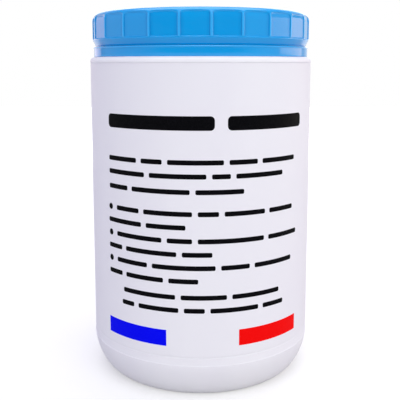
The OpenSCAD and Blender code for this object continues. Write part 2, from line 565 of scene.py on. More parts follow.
@dataclass(frozen=True)
class Foam(Finish):
    """Fine closed-cell foam."""

    clouds: Grain = Cells(0.35, start=0.1, end=0.8)
    patches: Grain = Grain(2)
    roughness: Span = (0.6, 0.8)
    relief: tuple[Grain, ...] = (Cells(0.35, strength=0.5, depth=0.03),)


def make_finishes() -> Finishes:
    """Make every finish of the pot.

    Returns:
        The materials by slot.
    """
    white, white_shade = (0.86, 0.85, 0.90), (0.835, 0.82, 0.88)
    finishes = {
        "pot_plastic": MouldedPlastic("pot_white", white, white_shade, specular=0.12, glow=0.1),
        "label_film": PrintedFilm("label_white", white, white_shade),
        "lid_plastic": MouldedPlastic(
            "lid_blue",
            (0.001, 0.34, 0.79),
            (0.002, 0.315, 0.76),
            roughness=(0.09, 0.14),
            relief=peel(0.002),
            # Painted highlight for the rib crests and the band's bead, and painted shade for the grooves
            # beside the ribs.
            edges=((0.03, 0.43, 0.92), (0.0, 0.22, 0.62)),
        ),
        "liner_foam": Foam("liner_white", (0.88, 0.88, 0.86), (0.76, 0.76, 0.75)),
        "print_black": Ink("ink_black", (0.002, 0.002, 0.003), (0.008, 0.008, 0.01)),
        "print_blue": Ink("ink_blue", (0.001, 0.002, 0.92), (0.004, 0.008, 0.95)),
        "print_red": Ink("ink_red", (0.92, 0.002, 0.002), (0.95, 0.008, 0.008)),
        "wax_oak": CastWax("wax_light_oak", (0.7, 0.45, 0.21), (0.58, 0.34, 0.14)),
        "wax_beech": CastWax("wax_cherry", (0.48, 0.21, 0.075), (0.37, 0.15, 0.05)),
        "wax_walnut": CastWax("wax_walnut_brown", (0.2, 0.075, 0.028), (0.14, 0.05, 0.018)),
        "wax_wenge": CastWax("wax_dark_brown", (0.07, 0.028, 0.014), (0.045, 0.018, 0.009)),
    }
    return {slot: finish.make() for slot, finish in finishes.items()}


@dataclass
class SubAssembly:
    """A sub-assembly of the pot, whose pieces take their finishes by slot."""

    finishes: Finishes

    def dress(self, piece: Object, slot: str, body: Body) -> None:
        """Give a piece its finish and its body, and report it.

        Args:
            piece: The piece.
            slot: The record's material slot that it takes.
            body: The body that it rides on.
        """
        piece.data.materials.clear()
        piece.data.materials.append(self.finishes[slot])
        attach(piece, body.value)
        LOG.info("%s: %d faces on %s", piece.name, len(piece.data.polygons), body.value)


@dataclass
class Thread:
    """A helical thread of tapering section, rooted in a wall.

    Attributes:
        wall_r: Radius of the wall that carries it.
        outward: 1 for a thread on a neck, and -1 for one in a lid.
        low_z: Height of the helix at angle 0.
        first: First facet along the helix, counted from angle 0.
        last: Last facet.
        finer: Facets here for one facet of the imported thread.
    """

    wall_r: float
    outward: int
    low_z: float
    first: int
    last: int
    pitch: float = 6.0
    depth: float = 1.4
    root_w: float = 2.8
    crest_w: float = 1.4
    root_sink: float = 0.4
    end_sink: float = 0.2
    end_gap: float = 0.5
    turn_facets: int = 36
    lead_facets: int = 3
    finer: int = 4

    def model(self, name: str) -> Object:
        """Screw the thread's section round the Z axis and sink its ends into the wall.

        Args:
            name: The piece's name.

        Returns:
            The thread, settled.
        """
        root = self.wall_r - self.outward * self.root_sink
        crest = self.wall_r + self.outward * self.depth
        facets = self.last - self.first
        deselect()
        bpy.ops.mesh.primitive_plane_add(size=1, rotation=(math.pi / 2, 0, 0))
        piece = named(name)
        apply_place()
        for vertex in piece.data.vertices:
            at_crest = (vertex.co.x > 0) == (self.outward > 0)
            width = self.crest_w if at_crest else self.root_w
            radius = crest if at_crest else root
            vertex.co = Vector((radius * MM, 0, math.copysign(width / 2, vertex.co.z) * MM))
        with editing():
            bpy.ops.mesh.delete(type="ONLY_FACE")
        apply_modifier(
            piece,
            "SCREW",
            axis="Z",
            angle=math.tau * facets / self.turn_facets,
            screw_offset=self.pitch * facets / self.turn_facets * MM,
            steps=facets * self.finer,
            render_steps=facets * self.finer,
            use_smooth_shade=False,
        )
        self._place(piece)
        self._close()
        return settle(piece, crease_deg=25)

    def _place(self, piece: Object) -> None:
        """Lift the screwed section to its helix, and taper both ends into the wall.

        Args:
            piece: The screwed section.
        """
        per_facet = self.pitch / self.turn_facets
        span, lead = (self.last - self.first) * per_facet, self.lead_facets * per_facet
        rings = (self.last - self.first) * self.finer
        corners = 4
        for index, vertex in enumerate(piece.data.vertices):
            ring = index // corners
            along = span * ring / rings
            grown = min(1.0, along / lead, (span - along) / lead)
            angle = math.tau * (self.first + ring / self.finer) / self.turn_facets
            radius = math.hypot(vertex.co.x, vertex.co.y) / MM
            proud = self.outward * (radius - self.wall_r)
            if proud > 0:
                radius = self.wall_r + self.outward * (proud * grown - (1 - grown) * self.end_sink)
            vertex.co = polar(radius, angle, vertex.co.z / MM + self.low_z + self.first * per_facet) * MM

    @staticmethod
    def _close() -> None:
        """Fill the thread's two open ends."""
        others = ("use_wire", "use_multi_face", "use_non_contiguous", "use_verts")
        with editing("DESELECT"):
            bpy.ops.mesh.select_mode(type="EDGE")
            bpy.ops.mesh.select_non_manifold(extend=False, use_boundary=True, **dict.fromkeys(others, False))
            bpy.ops.mesh.fill()
            bpy.ops.mesh.select_mode(type="VERT")


@dataclass
class Pot(SubAssembly):
    """The white pot with its neck, beads, heel and base."""

    place: Place = packed("jar_body")
    lid: Place = packed("screw_cap")
    label: Place = packed("wrap_label")
    edge: float = 0.5
    wall: float = 1.6
    floor_z: float = 3.2
    floor_edge: Span = (0.5, 0.3)
    base_lift: float = 1.2
    foot_w: float = 3.0
    foot_edge: float = 0.6
    ledge_w: float = 0.14
    ledge_h: float = 0.12
    heel_h: float = 16.0
    heel_in: float = 8.3
    heel_power: float = 1.56
    panel_depth: float = 0.25
    label_gap: float = 0.6
    shoulder_bead_h: float = 0.6
    shoulder_r: float = 2.1
    neck_wall: float = 1.8
    lid_wall: float = 2.0
    thread_clear: float = 0.4
    catch_low: float = 2.055
    catch_h: float = 1.5
    catch_flat: float = 0.6
    catch_depth: float = 1.0
    columns: int = 240

    @property
    def foot_r(self) -> float:
        """Outer radius of the standing ring."""
        return self.place.radius - self.heel_in

    @property
    def panel_top(self) -> float:
        """Upper edge of the label panel."""
        return self.label.high.z + self.label_gap

    @property
    def shoulder_z(self) -> float:
        """Height of the shoulder's widest line."""
        return self.panel_top + self.shoulder_bead_h

    @property
    def catch_z(self) -> float:
        """Height of the underside of the bead that holds the tamper band."""
        return self.shoulder_z + self.shoulder_r + self.catch_low

    @property
    def neck_r(self) -> float:
        """Outer radius of the neck between its threads."""
        return self.lid.radius - self.lid_wall - self.thread_clear - Thread.depth

    def helix(self) -> tuple[int, float]:
        """Find how many facets of thread fit on the neck, and where its helix starts.

        Returns:
            The number of facets, and the helix's height at angle 0.
        """
        margin = Thread.end_gap + Thread.root_w / 2
        top = self.place.high.z - margin
        room = top - self.catch_z - self.catch_h - margin
        facets = math.floor(Thread.turn_facets * room / Thread.pitch + FACET_SLACK)
        return facets, top - Thread.pitch * facets / Thread.turn_facets

    def heel(self, set_in: float, steps: int = 22) -> list[Corner]:
        """Give the heel's curve from the standing ring up.

        Args:
            set_in: How far inside the outer surface the curve lies.
            steps: Facets along the curve.

        Returns:
            The curve's points.
        """
        points = []
        for step in range(steps + 1):
            angle = math.pi / 2 * (1 - step / steps)
            across = max(math.cos(angle), 0.0) ** (2 / self.heel_power)
            down = math.sin(angle) ** (2 / self.heel_power)
            lean_out = across ** (self.heel_power - 1) / self.heel_in
            lean_down = down ** (self.heel_power - 1) / self.heel_h
            point = Vector((self.foot_r + self.heel_in * across, self.heel_h * (1 - down)))
            point -= Vector((lean_out, -lean_down)).normalized() * set_in
            points.append(Corner(point.x, point.y))
        return points

    def outline(self) -> Outline:
        """Give the pot's outline, from the middle of its base round to the middle of its floor."""
        return rounded(self._outside() + self._inside())

    def _outside(self) -> list[Corner]:
        """Give the outline's first part.

        Returns:
            The corners from the middle of the base to the rim.
        """
        radius, foot_r, edge = self.place.radius, self.foot_r, self.edge
        panel_r, panel_low = radius - self.panel_depth, self.label.low.z - self.label_gap
        ledge_r, catch_r = radius - self.ledge_w, self.neck_r + self.catch_depth
        return [
            Corner(0, self.base_lift),
            Corner(foot_r - self.foot_w - self.base_lift, self.base_lift, edge * 1.2),
            Corner(foot_r - self.foot_w, 0, edge),
            Corner(foot_r - self.foot_edge, 0),
            *self.heel(0)[1:],
            Corner(radius, self.heel_h + self.ledge_h, edge * 0.16),
            Corner(ledge_r, self.heel_h + self.ledge_h, edge * 0.06),
            Corner(ledge_r, panel_low - self.panel_depth, edge),
            Corner(panel_r, panel_low, edge * 0.6),
            Corner(panel_r, self.panel_top, edge * 0.6),
            Corner(radius, self.panel_top + self.panel_depth, edge * 0.6),
            *arc(radius - self.shoulder_r, self.shoulder_z, self.shoulder_r, 0, 90, 8),
            Corner(self.neck_r, self.shoulder_z + self.shoulder_r, edge),
            Corner(self.neck_r, self.catch_z, edge * 0.4),
            Corner(catch_r, self.catch_z, edge * 0.5),
            Corner(catch_r, self.catch_z + self.catch_flat, edge * 0.5),
            Corner(self.neck_r, self.catch_z + self.catch_h, edge * 0.8),
            Corner(self.neck_r, self.place.high.z, edge),
        ]

    def _inside(self) -> list[Corner]:
        """Give the outline's second part.

        Returns:
            The corners from the rim to the middle of the floor.
        """
        edge, edge_w, edge_h = self.edge, *self.floor_edge
        mouth_r = self.neck_r - self.neck_wall
        hollow_r = self.place.radius - self.panel_depth - self.wall
        hollow = [corner for corner in self.heel(self.wall) if corner.z > self.floor_z + edge_h]
        return [
            Corner(mouth_r, self.place.high.z, edge),
            Corner(mouth_r, self.shoulder_z + self.shoulder_r - self.wall, edge * 3),
            Corner(hollow_r, self.shoulder_z - self.shoulder_r - self.wall, edge * 4),
            Corner(hollow_r, self.label.low.z - self.label_gap, edge * 2),
            *reversed(hollow),
            Corner(hollow[0].r - edge_w, self.floor_z),
            Corner(0, self.floor_z),
        ]

    def build(self) -> None:
        """Model the pot with its neck thread, and dress both."""
        pot = settle(turned("pot_body", self.outline(), self.columns), crease_deg=40)
        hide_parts("jar_body")
        self.dress(pot, "pot_plastic", Body.POT)
        facets, low = self.helix()
        thread = Thread(self.neck_r, 1, low, 0, facets).model("neck_thread")
        self.dress(thread, "pot_plastic", Body.POT)


@dataclass(frozen=True)
class Mark:
    """One flat mark of the print, before it is laid round the pot.

    Attributes:
        x: Its middle, along the label to the right of the front.
        z: Its middle height.
        w: Its width.
        h: Its height.
        rounding: Radius of its corners.
    """

    x: float
    z: float
    w: float
    h: float
    rounding: float = 0.0

    def add_face(self) -> None:
        """Add the mark as one flat face, with x along the label and y as its height."""
        bpy.ops.mesh.primitive_plane_add(size=1, location=(self.x * MM, self.z * MM, 0))
        bpy.context.object.scale = (self.w * MM, self.h * MM, 1)
        apply_place()
        if self.rounding:
            reach = min(self.rounding, self.h * BEVEL_SHARE, self.w * BEVEL_SHARE) * MM
            with editing():
                bpy.ops.mesh.bevel(offset=reach, segments=5, affect="VERTICES", offset_type="OFFSET")


@dataclass(frozen=True)
class Layout:
    """The print's layout: word-long bars where a label has its text.

    Heights are those of a row's middle. A plain row has its height, its indent and its words' lengths,
    and a list row has its words' lengths.
    """

    left: float = -46.0
    corner_share: float = 0.3
    title_z: float = 121.5
    title_h: float = 6.0
    title_gap: float = 5.5
    title_words: tuple[float, ...] = (51.9, 41.3)
    plain_rows: tuple[tuple[float, float, tuple[float, ...]], ...] = (
        (105.1, 0, (17, 10, 24, 13, 20)),
        (99.2, 0, (21, 25, 8, 24)),
        (92.6, 0, (12, 27, 21)),
        (46.8, 9, (26, 20, 24)),
        (41.0, 8, (7, 19, 9, 22, 12)),
    )
    list_z: float = 83.2
    list_pace: float = 5.85
    list_indents: Span = (5.0, -0.8)
    list_rows: tuple[tuple[float, ...], ...] = (
        (13, 22, 9, 19, 15), (20, 18), (24, 11, 30, 19), (9, 25, 13), (17, 28, 13, 22), (9, 19, 13)
    )
    dot: float = 2.8
    dot_x: float = 0.7
    stripe_z: float = 28.2
    stripe_h: float = 7.25
    blue_span: Span = (-47.7, -15.1)
    red_span: Span = (17.0, 50.7)

    def row(
        self, z: float, indent: float, words: tuple[float, ...], gap: float = 2.4, height: float = 2.1
    ) -> list[Mark]:
        """Lay word-long bars in a row.

        Args:
            z: Middle height of the row.
            indent: Left edge of the first bar, from the text block's.
            words: Lengths of the bars.
            gap: Gap between bars.
            height: Height of the bars.

        Returns:
            The bars.
        """
        marks, x = [], self.left + indent
        for length in words:
            marks.append(Mark(x + length / 2, z, length, height, height * self.corner_share))
            x += length + gap
        return marks

    def title(self) -> list[Mark]:
        """Lay out the title's two bars."""
        return self.row(self.title_z, 0, self.title_words, self.title_gap, self.title_h)

    def lines(self) -> list[Mark]:
        """Lay out the paragraph and the two middle lines."""
        return [mark for row in self.plain_rows for mark in self.row(*row)]

    def points(self) -> list[Mark]:
        """Lay out a list of three points, each with a dot and two lines.

        Returns:
            The bars and dots.
        """
        marks = []
        for number, words in enumerate(self.list_rows):
            z = self.list_z - number * self.list_pace
            marks += self.row(z, self.list_indents[number % 2], words)
            if number % 2 == 0:
                marks.append(Mark(self.left + self.dot_x, z, self.dot, self.dot, self.dot / 2))
        return marks

    def stripe(self, span: Span) -> Mark:
        """Lay out the stripe that fills a span."""
        return Mark(sum(span) / 2, self.stripe_z, span[1] - span[0], self.stripe_h)


@dataclass
class Label(SubAssembly):
    """The film round the pot with its plain printed layout."""

    place: Place = packed("wrap_label")
    film_t: float = 0.12
    seam: float = 2.0
    ink_t: float = 0.025
    ink_lift_share: float = 0.15
    steps: int = 236

    def build(self) -> None:
        """Model and dress the film and its print: bars for words, dots for list points, and stripes."""
        self.film()
        layout = Layout()
        self.patch("print_title", layout.title(), "print_black")
        self.patch("print_lines", layout.lines(), "print_black")
        self.patch("print_list", layout.points(), "print_black")
        self.patch("stripe_blue", [layout.stripe(layout.blue_span)], "print_blue")
        self.patch("stripe_red", [layout.stripe(layout.red_span)], "print_red")

    def film(self) -> None:
        """Spin the film's narrow section round the pot, open at the seam."""
        seam_angle = self.seam / self.place.radius
        deselect()
        bpy.ops.mesh.primitive_plane_add(size=1, rotation=(0, math.pi / 2, 0))
        piece = named("label_film")
        apply_place()
        for vertex in piece.data.vertices:
            r = self.place.radius - (self.film_t if vertex.co.y > 0 else 0)
            z = self.place.high.z if vertex.co.z > 0 else self.place.low.z
            vertex.co = polar(r, (math.pi + seam_angle) / 2, z) * MM
        with editing():
            bpy.ops.mesh.spin(steps=self.steps, angle=math.tau - seam_angle, center=(0, 0, 0), axis=(0, 0, 1))
        settle(piece)
        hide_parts("wrap_label")
        self.dress(piece, "label_film", Body.POT)

    def patch(self, name: str, marks: list[Mark], slot: str) -> None:
        """Print a group of marks in one ink.

        Args:
            name: The piece's name.
            marks: The marks.
            slot: The ink's slot.
        """
        parts = []
        for number, mark in enumerate(marks):
            deselect()
            mark.add_face()
            parts.append(named(f"{name}_{number}"))
            self._wrap(parts[-1], mark)
        deselect()
        for part in parts:
            part.select_set(True)
        bpy.context.view_layer.objects.active = parts[0]
        if len(parts) > 1:
            bpy.ops.object.join()
        piece = named(name)
        apply_modifier(piece, "SOLIDIFY", thickness=self.ink_t * MM, offset=1)
        settle(piece)
        self.dress(piece, slot, Body.POT)

    def _wrap(self, piece: Object, mark: Mark) -> None:
        """Cut a flat mark into strips and lay it round the label.

        Args:
            piece: The flat face.
            mark: Its size and place.
        """
        radius = self.place.radius
        pace = math.tau * radius / self.steps
        cut = math.ceil((mark.x - mark.w / 2) / pace) * pace
        with editing():
            while cut < mark.x + mark.w / 2:
                bpy.ops.mesh.select_all(action="SELECT")
                bpy.ops.mesh.bisect(plane_co=(cut * MM, 0, 0), plane_no=(1, 0, 0))
                cut += pace
        lift = radius + self.ink_t * self.ink_lift_share
        for vertex in piece.data.vertices:
            x, z, _ = vertex.co / MM
            vertex.co = polar(lift, x / radius - math.pi / 2, z) * MM


@dataclass
class Lid(SubAssembly):
    """The blue lid: ribbed grip, ridge, slanted foot, stacking ring and inner thread.

    The grip's panels are flat, lean in near their tops and lie sink deep. A mesh attribute marks the
    ribs' crests for a painted highlight and the grooves beside them for painted shade.
    """

    place: Place = packed("screw_cap")
    liner: Place = packed("seal_liner")
    pot: Place = packed("jar_body")
    edge: float = 0.2
    wall: float = 2.0
    stack_h: float = 1.0
    stack_gap: float = 0.7
    seat_ring: float = 12.0
    edge_round: float = 3.8
    foot_h: float = 3.0
    foot_in: float = 1.4
    foot_flat: float = 0.3
    lip_w: float = 0.15
    lip_h: float = 0.5
    ridge_h: float = 0.5
    ribs: int = 24
    rib_crest: float = 0.7
    rib_slope: float = 0.4
    rib_proud: float = 0.08
    rib_ends: Span = (0.3, 1.2)
    rib_past: float = 0.6
    slim: float = 0.25
    lean_from: float = 3.0
    lean: float = 0.05
    sink: float = 0.65
    flank_steep: float = 0.85
    grip_drop: float = 2.1
    grip_corner: float = 1.2
    turn_deg: float = 5.0
    soft: float = 0.03
    ledge_h: float = 0.45
    # Where the painted rib highlight and shade fade out, and how far the painted groove shade reaches.
    light_shade_ends: Span = (0.3, 0.8)
    groove_shade_share: float = 0.9
    thread_gap: float = 0.3
    ridge_low: float = 0.34
    ring_heights: tuple[float, ...] = (
        -0.27, -0.22, -0.15, -0.07, 0.0, 0.08, 0.16, 0.22, 0.27, 0.36, 0.8, 2.2, 4.2, 6.2, 7.4, 8.2
    )
    slope_shares: tuple[float, ...] = (0.1, 0.3, 0.5, 0.7, 0.9, 1.1, 1.6)
    panel_columns: Span = (2.4, 4.4)

    @property
    def radius(self) -> float:
        """Radius of the grip's outer surface."""
        return self.place.radius - self.slim

    @property
    def grip_z(self) -> float:
        """Lower edge of the grip's panels."""
        return self.place.low.z + self.foot_h + self.ridge_h

    @property
    def grip_top(self) -> float:
        """Upper edge of the grip's panels."""
        return self.place.high.z - self.grip_drop

    def outline(self) -> Outline:
        """Give the lid's outline.

        Returns:
            The points from the middle of its top round to the middle of its underside.
        """
        radius, low, top = self.radius, self.place.low.z, self.place.high.z
        seat, bore, edge = top - self.stack_h, self.place.radius - self.wall, self.edge
        ring_r = self.pot.radius - Pot.heel_in + self.stack_gap
        edge_z = top - self.edge_round
        rings = [self.grip_z + height for height in reversed(self.ring_heights)]
        return rounded([
            Corner(0, seat),
            Corner(ring_r - self.seat_ring, seat),
            Corner(ring_r, seat, edge * 3),
            Corner(ring_r + self.stack_h, top, edge * 3),
            *arc(radius - self.edge_round, edge_z, self.edge_round, 90, 0, 28),
            *[Corner(radius, z) for z in rings if z < edge_z - self.foot_flat],
            Corner(radius, self.grip_z - self.ridge_low),
            Corner(radius, low + self.foot_h, edge),
            Corner(radius - self.foot_in * 0.97, low + self.foot_flat, edge * 8),
            Corner(radius - self.foot_in, low, edge * 0.3),
            Corner(bore + self.lip_w, low, edge / 2),
            Corner(bore, low + self.lip_h, edge),
            Corner(bore, self.liner.high.z, edge * 2.5),
            Corner(0, self.liner.high.z),
        ])

    def column_offsets(self) -> list[float]:
        """Place the columns of one rib's sector, gathered at the rib's edges.

        Returns:
            Their distances from the rib's middle.
        """
        crest = self.rib_crest / 2
        slope = [crest + self.rib_slope * share for share in self.slope_shares]
        near = [crest * 0.5, crest * 0.85, *slope, *self.panel_columns]
        half = self.radius * math.sin(math.pi / self.ribs)
        return [*[-offset for offset in reversed(near)], 0.0, *near, half]

    def build(self) -> None:
        """Model and dress the lid and its thread."""
        offsets = self.column_offsets()
        lid = turned("lid_shell", self.outline(), self.ribs * len(offsets))
        self._shape(lid, offsets)
        settle(lid, crease_deg=45)
        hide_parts("screw_cap")
        self.dress(lid, "lid_plastic", Body.LID)
        self.thread()

    def _shape(self, lid: Object, offsets: list[float]) -> None:
        """Gather the columns at the ribs, sink the panels between them and mark the ribs' crests and grooves
        for painted highlight and shade.

        Args:
            lid: The turned lid.
            offsets: The columns' places in one rib's sector.
        """
        sector = math.tau / self.ribs
        marks = lid.data.attributes.new(LIGHT_SHADE_MARK, "FLOAT", "POINT").data
        for vertex in lid.data.vertices:
            r, z = math.hypot(vertex.co.x, vertex.co.y) / MM, vertex.co.z / MM
            if r < MERGE_MM:
                continue
            turn = (math.atan2(vertex.co.y, vertex.co.x) % math.tau) / sector
            rib = math.floor(turn + COLUMN_SLACK)
            offset = offsets[round((turn - rib) * len(offsets)) % len(offsets)]
            within = math.asin(offset / self.radius)
            if r > self.radius - self.edge_round and z >= self.grip_z - self.ledge_h:
                # Painted highlight on the rib crests and painted shade in the grooves beside them.
                marks[vertex.index].value = self._rib_light_shade(abs(offset), z)
                r, within = self._sunk(r, z, within)
            vertex.co = polar(r, rib * sector + within + math.radians(self.turn_deg), z) * MM

    def _rib_light_shade(self, offset: float, z: float) -> float:
        """Mark the ribs' crests for a painted highlight and the grooves beside them for painted shade.

        Args:
            offset: A point's distance from the middle of the nearest rib.
            z: Its height.

        Returns:
            1 on a crest, falling to -1 in the groove beside it, and 0 away from the ribs.
        """
        low_end, top_end = self.light_shade_ends
        share = (offset - self.rib_crest / 2) / self.rib_slope
        end = min(clamp((z - self.grip_z) / low_end), clamp((self.grip_top - z) / top_end))
        if share < 1.0:
            return end * min(1.0, 1.0 - 2.0 * share)
        return end * -max(0.0, 1.0 - (share - 1.0) / self.groove_shade_share)

    def _sunk(self, r: float, z: float, within: float) -> tuple[float, float]:
        """Sink a point of the grip where it lies on a panel.

        Args:
            r: The point's distance from the axis.
            z: Its height.
            within: Its angle from the middle of the nearest rib.

        Returns:
            The sunk point's distance from the axis and its angle from the rib.
        """
        half_sector = math.pi / self.ribs
        to_panel = half_sector - abs(within)
        x, y = r * math.cos(to_panel), r * math.sin(to_panel)
        half_w = self.radius * math.sin(half_sector) - self.rib_crest / 2 - self.rib_slope
        across = y - (half_w - self.grip_corner)
        above = z - (self.grip_top - self.grip_corner)
        outside = math.hypot(across, above) if above > 0 and across > 0 else max(across, above)
        step = (self.grip_z + self.ledge_h / 2 - z) * self.sink / self.ledge_h / self.flank_steep
        outside = max(outside - self.grip_corner, step)
        wall = self.soft * math.log1p(math.exp(min(outside / self.soft, 40)))
        leaning = self.lean * max(0.0, z - (self.grip_top - self.lean_from)) ** 2
        limit = self.radius - self.sink - leaning + wall * self.flank_steep
        x = min(x, limit) - self.soft * math.log1p(math.exp(-abs(x - limit) / self.soft))
        low_end, top_end = self.rib_ends
        end = min(clamp((z - self.grip_z) / low_end), clamp((self.grip_top + self.rib_past - z) / top_end))
        flank = clamp((self.rib_crest / 2 + self.rib_slope - self.radius * abs(within)) / self.rib_slope)
        proud = self.rib_proud * flank * end
        return math.hypot(x, y) + proud, math.copysign(half_sector - math.atan2(y, x), within)

    def thread(self) -> None:
        """Model and dress the thread inside the lid, which lies just below the neck's."""
        _, helix = Pot(self.finishes).helix()
        low = helix - (Thread.root_w + Thread.crest_w) / 2 - self.thread_gap
        per_facet = Thread.pitch / Thread.turn_facets
        end = Thread.end_gap + Thread.root_w / 2
        first = math.ceil((self.place.low.z + end - low) / per_facet - FACET_SLACK)
        last = math.floor((self.pot.high.z - end - low) / per_facet + FACET_SLACK)
        thread = Thread(self.place.radius - self.wall, -1, low, first, last).model("lid_thread")
        self.dress(thread, "lid_plastic", Body.LID)


@dataclass
class TamperBand(SubAssembly):
    """The ring that stays on the neck, with its bead, its hooked lip and a tear bridge."""

    place: Place = packed("tamper_band")
    lid: Place = packed("screw_cap")
    edge: float = 0.1
    wall: float = 1.4
    lip_h: float = 1.2
    lip_low: float = 0.405
    seat: float = 0.14
    lip_r: float = 48.0
    tear_gap: float = 0.4
    bridge_gap: float = 0.05
    bridge_root: float = 0.3
    bridge_w: float = 0.9
    bridge_d: float = 0.64
    bridge_in: float = 0.35
    bridge_edge: float = 0.08
    crest_h: float = 0.32
    crest_w: float = 0.75
    bead_out: float = 0.26
    bead_low: float = 0.4
    bead_z: float = 0.08
    bead_top_in: float = 0.02
    columns: int = 240

    @property
    def top(self) -> float:
        """Height of the band's upper face."""
        return self.lid.low.z - self.tear_gap

    def outline(self) -> Outline:
        """Give the band's closed outline.

        Returns:
            The points from the middle of its outer face up and back round.
        """
        radius, low, top, edge = self.place.radius, self.place.low.z, self.top, self.edge
        bore, lip_z = radius - self.wall, low + self.lip_low
        crest_z, crest_r = top + self.crest_h, radius - self.crest_w
        return rounded([
            Corner(radius, (low + top) / 2),
            Corner(radius, top - self.bead_low, edge * 1.5),
            Corner(radius + self.bead_out, top - self.bead_z, edge),
            Corner(radius - self.bead_top_in, crest_z, edge * 0.8),
            Corner(crest_r, crest_z, edge),
            Corner(crest_r - edge, top, edge),
            Corner(bore, top, edge * 1.5),
            Corner(bore, lip_z + self.lip_h, edge),
            Corner(self.lip_r, lip_z + self.lip_h, edge * 1.5),
            Corner(self.lip_r, lip_z + self.lip_h / 2, edge * 1.5),
            Corner(bore, lip_z, edge),
            Corner(bore, low - self.seat, edge),
            Corner(radius, low - self.seat, edge),
            Corner(radius, (low + top) / 2),
        ])

    def build(self) -> None:
        """Model and dress the band, with its bead marked for a painted highlight, and its bridge."""
        band = turned("band_ring", self.outline(), self.columns)
        marks = band.data.attributes.new(LIGHT_SHADE_MARK, "FLOAT", "POINT").data
        # The bead's outer edge gets the lid finish's painted highlight.
        for vertex in band.data.vertices:
            bead_highlight = math.hypot(vertex.co.x, vertex.co.y) > (self.place.radius + self.bead_out * 0.2) * MM
            marks[vertex.index].value = 1.0 if bead_highlight else 0.0
        settle(band, crease_deg=40)
        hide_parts("tamper_band")
        self.dress(band, "lid_plastic", Body.POT)
        self.tear_bridge()

    def tear_bridge(self) -> None:
        """Model and dress the one tear bridge that is shown, below the lid's foot."""
        height = self.tear_gap - self.bridge_gap + self.bridge_root
        middle_r = self.place.radius - self.wall + self.bridge_in
        middle_z = self.top - self.bridge_root + height / 2
        deselect()
        bpy.ops.mesh.primitive_cube_add(size=1, location=(middle_r * MM, 0, middle_z * MM))
        bridge = named("tear_bridges")
        bridge.scale = (self.bridge_d * MM, self.bridge_w * MM, height * MM)
        apply_place()
        apply_modifier(bridge, "BEVEL", width=self.bridge_edge * MM, segments=2)
        settle(bridge, crease_deg=40)
        self.dress(bridge, "lid_plastic", Body.POT)


@dataclass
class Liner(SubAssembly):
    """The foam disc in the lid, with the ring that the pot's rim has pressed into it."""

    place: Place = packed("seal_liner")
    edge: float = 0.25
    groove_edge: float = 0.3
    groove_r: float = 46.7
    groove_w: float = 2.0
    groove_d: float = 0.15
    groove_slope: float = 0.4
    columns: int = 180

    def build(self) -> None:
        """Model and dress the liner."""
        low, high, radius = self.place.low.z, self.place.high.z, self.place.radius
        inner, outer = self.groove_r - self.groove_w / 2, self.groove_r + self.groove_w / 2
        outline = rounded([
            Corner(0, low),
            Corner(inner - self.groove_slope, low, self.groove_edge),
            Corner(inner, low + self.groove_d, self.groove_edge),
            Corner(outer, low + self.groove_d, self.groove_edge),
            Corner(outer + self.groove_slope, low, self.groove_edge),
            Corner(radius, low, self.edge),
            Corner(radius, high, self.edge),
            Corner(0, high),
        ])
        liner = settle(turned("liner_disc", outline, self.columns), crease_deg=40)
        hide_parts("seal_liner")
        self.dress(liner, "liner_foam", Body.LINER)


@dataclass
class WaxSticks(SubAssembly):
    """The ten cast sticks, each with rounded ends and the dimple that cooling leaves."""

    rounding: float = 2.0
    dimple: float = 0.9
    rim_w: float = 2.2
    slope_w: float = 4.5
    dimple_w: float = 8.5
    ring_shares: tuple[float, ...] = (0.25, 0.5, 0.75)
    columns: int = 64

    def build(self) -> None:
        """Model and dress each packed stick at its place."""
        slots = {part["node"]: part["material_slot"] for part in frame["record"]["subparts"]}
        for node in sorted(name for name in slots if name.startswith("wax_stick")):
            place = Place.of(node)
            centre = (place.low + place.high) / 2
            stick = turned(node.replace("wax_stick", "stick"), self.outline(place), self.columns)
            stick.location = (centre.x * MM, centre.y * MM, 0)
            settle(stick, crease_deg=40)
            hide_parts(node)
            self.dress(stick, slots[node], Body.POT)

    def outline(self, place: Place) -> Outline:
        """Give a stick's outline, from its foot to the dimple in its top.

        Args:
            place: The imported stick's place.

        Returns:
            The outline.
        """
        radius, low, high = place.radius, place.low.z, place.high.z
        corners = [
            Corner(0, low),
            Corner(radius, low, self.rounding),
            *[Corner(radius, low + (high - low) * share) for share in self.ring_shares],
            Corner(radius, high, self.rounding * 0.6),
            Corner(radius - self.rim_w, high, self.rounding * 0.4),
            Corner(radius - self.slope_w, high - self.dimple * 0.7, self.rounding),
            Corner(radius - self.dimple_w, high - self.dimple, self.rounding),
            Corner(0, high - self.dimple),
        ]
        return rounded(corners, 5)


@dataclass(frozen=True)
class Softbox:
    """A softbox that hangs round the lid and is turned towards it.

    Attributes:
        name: The light's name.
        azimuth_deg: Its direction from the lid, to the right of the camera.
        rise_deg: Its direction above level.
        reach: Its distance from the lid, in metres.
        size: Its width and height, in metres.
        level: Its brightness, where 1 is white.
        tint: Its colour.
    """

    name: str
    azimuth_deg: float
    rise_deg: float
    reach: float
    size: Span
    level: float
    tint: Colour = (1.0, 1.0, 1.0)

    def hang(self, lid_z: float) -> None:
        """Add the light.

        Args:
            lid_z: The lid's height, in metres.
        """
        data = bpy.data.lights.new(self.name, "AREA")
        data.shape = "RECTANGLE"
        data.size, data.size_y = self.size
        data.energy = self.level * math.pi * data.size * data.size_y
        data.color = self.tint
        light = bpy.data.objects.new(self.name, data)
        azimuth, rise = math.radians(self.azimuth_deg), math.radians(self.rise_deg)
        away = polar(math.cos(rise), azimuth - math.pi / 2, math.sin(rise))
        light.location = Vector((0, 0, lid_z)) + away * self.reach
        light.rotation_euler = (-away).to_track_quat("-Z", "Y").to_euler()
        bpy.context.scene.collection.objects.link(light)


